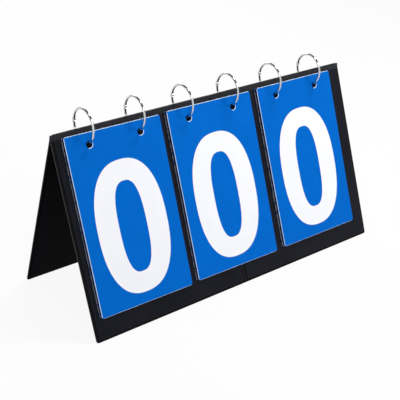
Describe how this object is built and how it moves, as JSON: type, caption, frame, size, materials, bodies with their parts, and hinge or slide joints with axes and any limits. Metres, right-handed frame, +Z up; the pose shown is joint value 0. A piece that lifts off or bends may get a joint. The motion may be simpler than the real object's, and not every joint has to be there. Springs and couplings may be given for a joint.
{
  "type": "tabletop flip scoreboard",
  "caption": "Free-standing tabletop scoreboard: a folding tent case with three stacks of flip-over digit cards on hinged binder rings.",
  "frame": {"origin": "centre of the footprint on the table, below the spine", "axes": "+X along the spine, to the right as the front is read; the digits face -Y; +Z up"},
  "size_m": [0.37, 0.1406, 0.2092],
  "materials": {
    "case_vinyl": "fine leather-grain vinyl, semi-matt",
    "stiffener_board": "plain grey board",
    "card_sheet": "satin plastic-coated card, blue with white digits",
    "ring_wire": "bright nickel-plated steel"
  },
  "bodies": {
    "front_panel": {"front_cover": "case_vinyl", "front_lining": "case_vinyl", "front_board_left": "stiffener_board", "front_board_right": "stiffener_board", "spine": "case_vinyl", "ring_hundreds_left_lower": "ring_wire", "ring_hundreds_left_pin": "ring_wire", "ring_tens_left_lower": "ring_wire", "ring_tens_left_pin": "ring_wire", "ring_units_left_lower": "ring_wire", "ring_units_left_pin": "ring_wire"},
    "back_panel": {"back_cover": "case_vinyl", "back_lining": "case_vinyl", "back_board_left": "stiffener_board", "back_board_right": "stiffener_board"},
    "hundreds_stack": {"card_hundreds_1": "card_sheet", "card_hundreds_2": "card_sheet", "card_hundreds_3": "card_sheet", "card_hundreds_4": "card_sheet", "card_hundreds_5": "card_sheet", "card_hundreds_6": "card_sheet", "card_hundreds_7": "card_sheet", "card_hundreds_8": "card_sheet", "card_hundreds_9": "card_sheet"},
    "hundreds_right_ring": {"ring_hundreds_right_lower": "ring_wire", "ring_hundreds_right_pin": "ring_wire"},
    "hundreds_front_card": {"card_hundreds_0": "card_sheet"},
    "hundreds_left_ring_top": {"ring_hundreds_left_upper": "ring_wire"},
    "hundreds_right_ring_top": {"ring_hundreds_right_upper": "ring_wire"},
    "tens_stack": {"card_tens_1": "card_sheet", "card_tens_2": "card_sheet", "card_tens_3": "card_sheet", "card_tens_4": "card_sheet", "card_tens_5": "card_sheet", "card_tens_6": "card_sheet", "card_tens_7": "card_sheet", "card_tens_8": "card_sheet", "card_tens_9": "card_sheet"},
    "tens_right_ring": {"ring_tens_right_lower": "ring_wire", "ring_tens_right_pin": "ring_wire"},
    "tens_front_card": {"card_tens_0": "card_sheet"},
    "tens_left_ring_top": {"ring_tens_left_upper": "ring_wire"},
    "tens_right_ring_top": {"ring_tens_right_upper": "ring_wire"},
    "units_stack": {"card_units_1": "card_sheet", "card_units_2": "card_sheet", "card_units_3": "card_sheet", "card_units_4": "card_sheet", "card_units_5": "card_sheet", "card_units_6": "card_sheet", "card_units_7": "card_sheet", "card_units_8": "card_sheet", "card_units_9": "card_sheet"},
    "units_right_ring": {"ring_units_right_lower": "ring_wire", "ring_units_right_pin": "ring_wire"},
    "units_front_card": {"card_units_0": "card_sheet"},
    "units_left_ring_top": {"ring_units_left_upper": "ring_wire"},
    "units_right_ring_top": {"ring_units_right_upper": "ring_wire"}
  },
  "joints": [
    {"name": "panel_fold", "type": "hinge", "parent": "front_panel", "child": "back_panel", "pos_m": [0, 0, 0.18158], "axis": [-1, 0, 0], "range_deg": [0, 41], "deforming": ["spine"]},
    {"name": "hundreds_stack_flip", "type": "hinge", "parent": "front_panel", "child": "hundreds_stack", "pos_m": [-0.1215, 0, 0.19146], "axis": [1, 0, 0], "range_deg": [-295, 0]},
    {"name": "hundreds_card_turn", "type": "hinge", "parent": "hundreds_stack", "child": "hundreds_right_ring", "pos_m": [-0.093, 0, 0.19146], "axis": [-1, 0, 0], "range_deg": [0, 310.09]},
    {"name": "hundreds_card_tilt", "type": "hinge", "parent": "hundreds_right_ring", "child": "hundreds_front_card", "pos_m": [-0.1215, -0.00891, 0.17551], "axis": [-1, 0, 0], "range_deg": [0, 8.91]},
    {"name": "hundreds_left_ring_open", "type": "hinge", "parent": "front_panel", "child": "hundreds_left_ring_top", "pos_m": [-0.15, 0.01654, 0.19291], "axis": [-1, 0, 0], "range_deg": [0, 60]},
    {"name": "hundreds_right_ring_open", "type": "hinge", "parent": "hundreds_right_ring", "child": "hundreds_right_ring_top", "pos_m": [-0.093, 0.01654, 0.19291], "axis": [-1, 0, 0], "range_deg": [0, 60]},
    {"name": "tens_stack_flip", "type": "hinge", "parent": "front_panel", "child": "tens_stack", "pos_m": [-0.0045, 0, 0.19146], "axis": [1, 0, 0], "range_deg": [-295, 0]},
    {"name": "tens_card_turn", "type": "hinge", "parent": "tens_stack", "child": "tens_right_ring", "pos_m": [0.024, 0, 0.19146], "axis": [-1, 0, 0], "range_deg": [0, 310.09]},
    {"name": "tens_card_tilt", "type": "hinge", "parent": "tens_right_ring", "child": "tens_front_card", "pos_m": [-0.0045, -0.00891, 0.17551], "axis": [-1, 0, 0], "range_deg": [0, 8.91]},
    {"name": "tens_left_ring_open", "type": "hinge", "parent": "front_panel", "child": "tens_left_ring_top", "pos_m": [-0.033, 0.01654, 0.19291], "axis": [-1, 0, 0], "range_deg": [0, 60]},
    {"name": "tens_right_ring_open", "type": "hinge", "parent": "tens_right_ring", "child": "tens_right_ring_top", "pos_m": [0.024, 0.01654, 0.19291], "axis": [-1, 0, 0], "range_deg": [0, 60]},
    {"name": "units_stack_flip", "type": "hinge", "parent": "front_panel", "child": "units_stack", "pos_m": [0.1125, 0, 0.19146], "axis": [1, 0, 0], "range_deg": [-295, 0]},
    {"name": "units_card_turn", "type": "hinge", "parent": "units_stack", "child": "units_right_ring", "pos_m": [0.141, 0, 0.19146], "axis": [-1, 0, 0], "range_deg": [0, 310.09]},
    {"name": "units_card_tilt", "type": "hinge", "parent": "units_right_ring", "child": "units_front_card", "pos_m": [0.1125, -0.00891, 0.17551], "axis": [-1, 0, 0], "range_deg": [0, 8.91]},
    {"name": "units_left_ring_open", "type": "hinge", "parent": "front_panel", "child": "units_left_ring_top", "pos_m": [0.084, 0.01654, 0.19291], "axis": [-1, 0, 0], "range_deg": [0, 60]},
    {"name": "units_right_ring_open", "type": "hinge", "parent": "units_right_ring", "child": "units_right_ring_top", "pos_m": [0.141, 0.01654, 0.19291], "axis": [-1, 0, 0], "range_deg": [0, 60]}
  ],
  "couplings": [
    {"joint": "hundreds_card_tilt", "follows": "hundreds_card_turn", "ratio": 0.02873},
    {"joint": "tens_card_tilt", "follows": "tens_card_turn", "ratio": 0.02873},
    {"joint": "units_card_tilt", "follows": "units_card_turn", "ratio": 0.02873}
  ]
}
